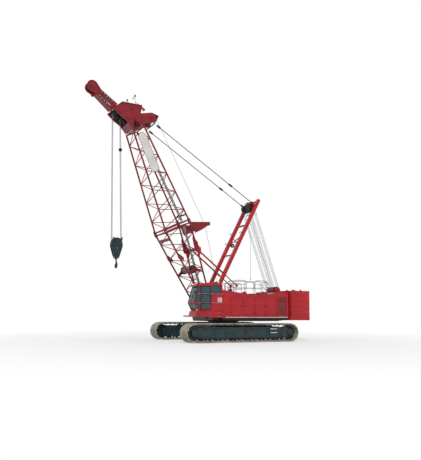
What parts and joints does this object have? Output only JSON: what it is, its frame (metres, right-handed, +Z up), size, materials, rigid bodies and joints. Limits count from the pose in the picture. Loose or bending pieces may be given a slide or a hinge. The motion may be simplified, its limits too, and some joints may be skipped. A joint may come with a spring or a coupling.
{
  "type": "crawler crane",
  "caption": "Tracked lattice-boom crane: slewing house with cab, doors and counterweight, luffing boom and mast, stay bars and a hook block.",
  "frame": {"origin": "on the ground under the slew centre", "axes": "+X towards the boom, +Y towards the cab side (the crane's left), +Z up"},
  "size_m": [16.6059, 6.91, 17.9741],
  "materials": {
    "red_paint": "semi-gloss red paint",
    "dark_frame": "dark blue-green paint",
    "shoe_steel": "worn cast steel",
    "rope_steel": "greased steel",
    "glass": "tinted glass",
    "seat_fabric": "woven",
    "light_grey": "satin grey paint"
  },
  "bodies": {
    "undercarriage": {"track_left": "shoe_steel", "track_right": "shoe_steel", "crawler_frame_left": "dark_frame", "crawler_frame_right": "dark_frame", "carbody": "dark_frame", "slew_ring": "shoe_steel"},
    "upperworks": {"rotating_bed": "dark_frame", "house_left": "red_paint", "house_right": "red_paint", "engine": "light_grey", "hoist_drum_front": "dark_frame", "hoist_drum_rear": "dark_frame", "boom_hoist_drum": "dark_frame", "reeving_frame": "red_paint", "counterweight_tray": "red_paint", "counterweight_centre": "red_paint", "counterweight_left": "red_paint", "counterweight_right": "red_paint", "cab": "red_paint", "windscreen": "glass", "cab_seat": "seat_fabric", "cab_platform": "red_paint", "handrail_left": "light_grey", "handrail_right": "light_grey"},
    "boom": {"boom_butt": "red_paint", "boom_top": "red_paint", "boom_head": "red_paint", "head_sheaves_upper": "dark_frame", "head_sheaves_lower": "dark_frame", "tip_arm": "red_paint", "tip_sheave": "dark_frame", "pendant_bracket": "red_paint", "line_guide": "red_paint", "boom_stops": "red_paint", "butt_winch": "dark_frame"},
    "mast": {"mast": "red_paint", "mast_sheaves": "dark_frame", "pendant_left": "rope_steel", "pendant_right": "rope_steel"},
    "hoist_line": {"hoist_fall": "rope_steel"},
    "hook_block": {"hook_block": "dark_frame"},
    "hook": {"hook": "dark_frame"},
    "tackle": {"hoist_rope_low": "rope_steel"},
    "tackle_reach": {"hoist_rope_high": "rope_steel"},
    "cab_door": {"cab_door": "red_paint"},
    "door_front_left": {"door_front_left": "red_paint"},
    "door_mid_front_left": {"door_mid_front_left": "red_paint"},
    "door_mid_rear_left": {"door_mid_rear_left": "red_paint"},
    "door_rear_left": {"door_rear_left": "red_paint"},
    "door_front_right": {"door_front_right": "red_paint"},
    "door_rear_right": {"door_rear_right": "red_paint"}
  },
  "joints": [
    {"name": "slew", "type": "hinge", "parent": "undercarriage", "child": "upperworks", "pos_m": [0, 0, 1.42], "axis": [0, 0, 1], "continuous": true},
    {"name": "boom_luff", "type": "hinge", "parent": "upperworks", "child": "boom", "pos_m": [1.23, 0, 1.955], "axis": [0, -1, 0], "range_deg": [-50, 17.5]},
    {"name": "mast_pivot", "type": "hinge", "parent": "upperworks", "child": "mast", "pos_m": [1.563, 0, 2.458], "axis": [0, -1, 0], "range_deg": [-52.4, 18.5]},
    {"name": "hoist_line_hang", "type": "hinge", "parent": "boom", "child": "hoist_line", "pos_m": [8.48752, 0, 15.77702], "axis": [0, -1, 0], "range_deg": [-17.6, 50.1]},
    {"name": "hook_height", "type": "slide", "parent": "hoist_line", "child": "hook_block", "axis": [0, 0, 1], "range_m": [-2.12, 5.98]},
    {"name": "hook_swivel", "type": "hinge", "parent": "hook_block", "child": "hook", "pos_m": [8.32, 0, 5.6], "axis": [0, 0, 1], "continuous": true},
    {"name": "tackle_swing", "type": "hinge", "parent": "upperworks", "child": "tackle", "pos_m": [-4.35, 0, 3.72], "axis": [0, -1, 0], "range_deg": [-39.3, 13.9]},
    {"name": "tackle_reach", "type": "slide", "parent": "tackle", "child": "tackle_reach", "axis": [0.3342, 0, 0.9425], "range_m": [-1.85, 5.2]},
    {"name": "cab_door_slide", "type": "slide", "parent": "upperworks", "child": "cab_door", "axis": [-1, 0, 0], "range_m": [0, 0.75]},
    {"name": "door_front_left_hinge", "type": "hinge", "parent": "upperworks", "child": "door_front_left", "pos_m": [0.66, 2.51, 2.49], "axis": [0, 0, -1], "range_deg": [0, 90]},
    {"name": "door_mid_front_left_hinge", "type": "hinge", "parent": "upperworks", "child": "door_mid_front_left", "pos_m": [-1.16, 2.51, 2.49], "axis": [0, 0, 1], "range_deg": [0, 90]},
    {"name": "door_mid_rear_left_hinge", "type": "hinge", "parent": "upperworks", "child": "door_mid_rear_left", "pos_m": [-1.27, 2.51, 2.49], "axis": [0, 0, -1], "range_deg": [0, 90]},
    {"name": "door_rear_left_hinge", "type": "hinge", "parent": "upperworks", "child": "door_rear_left", "pos_m": [-3.05, 2.51, 2.49], "axis": [0, 0, 1], "range_deg": [0, 90]},
    {"name": "door_front_right_hinge", "type": "hinge", "parent": "upperworks", "child": "door_front_right", "pos_m": [-0.6, -2.51, 2.49], "axis": [0, 0, 1], "range_deg": [0, 90]},
    {"name": "door_rear_right_hinge", "type": "hinge", "parent": "upperworks", "child": "door_rear_right", "pos_m": [-2.7, -2.51, 2.49], "axis": [0, 0, -1], "range_deg": [0, 90]}
  ],
  "couplings": [
    {"joint": "mast_pivot", "follows": "boom_luff", "ratio": 1.0433},
    {"joint": "hoist_line_hang", "follows": "boom_luff", "ratio": -1},
    {"joint": "hook_height", "follows": "boom_luff", "m_per_rad": -6.8},
    {"joint": "tackle_swing", "follows": "boom_luff", "ratio": 0.7812},
    {"joint": "tackle_reach", "follows": "boom_luff", "m_per_rad": -5.849}
  ]
}
